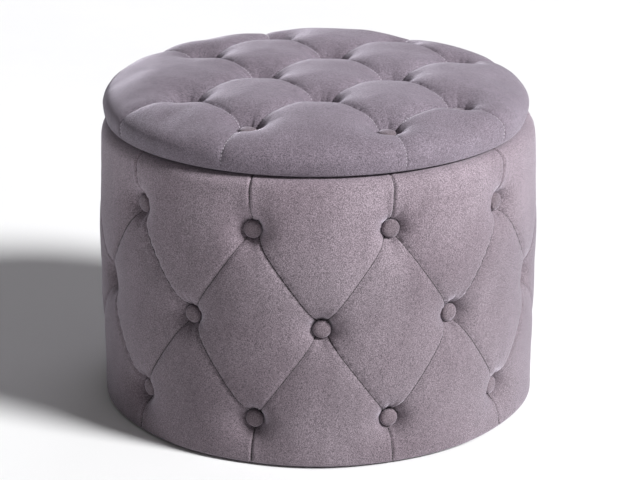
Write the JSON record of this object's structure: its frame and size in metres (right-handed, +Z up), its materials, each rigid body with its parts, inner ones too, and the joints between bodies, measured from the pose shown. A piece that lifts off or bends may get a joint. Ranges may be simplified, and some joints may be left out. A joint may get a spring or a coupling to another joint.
{
  "type": "storage ottoman",
  "caption": "Round button-tufted velvet ottoman with a loose lift-off lid over a storage space; sits low, as a seat, footrest or side table.",
  "frame": {"origin": "on the floor, at the centre of the round body", "axes": "+Z up, -Y towards the front, +X to the viewer's right when looking at the front"},
  "size_m": [0.526, 0.526, 0.408],
  "materials": {
    "velvet": "grey-mauve upholstery velvet",
    "foam": "open-cell cushion foam",
    "plywood": "sanded plywood, unfinished",
    "batten_wood": "planed pine, unfinished",
    "hardboard": "smooth hardboard",
    "lining": "black lining cloth",
    "dust_cloth": "black non-woven dust cover",
    "steel": "zinc-plated steel",
    "button_steel": "pressed tinplate",
    "cord": "waxed button twine",
    "glide_plastic": "black moulded plastic"
  },
  "bodies": {
    "body": {"base_panel": "plywood", "bottom_hoop": "plywood", "middle_hoop": "plywood", "top_hoop": "plywood", "wall_shell": "hardboard", "lining_board": "hardboard", "lining_wall": "lining", "lining_floor": "lining", "body_foam": "foam", "body_cover": "velvet", "body_buttons_upper": "velvet", "body_buttons_middle": "velvet", "body_buttons_lower": "velvet", "body_button_backs": "button_steel", "body_button_ties": "cord", "body_tie_washers": "steel", "base_screws": "steel", "lower_hoop_screws": "steel", "upper_hoop_screws": "steel", "base_hem_staples": "steel", "dust_cover": "dust_cloth", "dust_cover_staples": "steel", "glide_nails": "steel", "batten_1": "batten_wood", "glide_1": "glide_plastic", "batten_2": "batten_wood", "glide_2": "glide_plastic", "batten_3": "batten_wood", "glide_3": "glide_plastic", "batten_4": "batten_wood", "glide_4": "glide_plastic", "batten_5": "batten_wood", "glide_5": "glide_plastic"},
    "lid": {"lid_board": "plywood", "lid_foam": "foam", "lid_cover": "velvet", "lid_buttons": "velvet", "lid_button_backs": "button_steel", "lid_button_ties": "cord", "lid_tie_washers": "steel", "locating_disc": "plywood", "locating_disc_screws": "steel", "lid_lining": "lining", "lid_hem_staples": "steel"}
  },
  "joints": [
    {"name": "lid_lift", "type": "slide", "parent": "body", "child": "lid", "axis": [0, 0, 1], "range_m": [0, 0.3]}
  ]
}
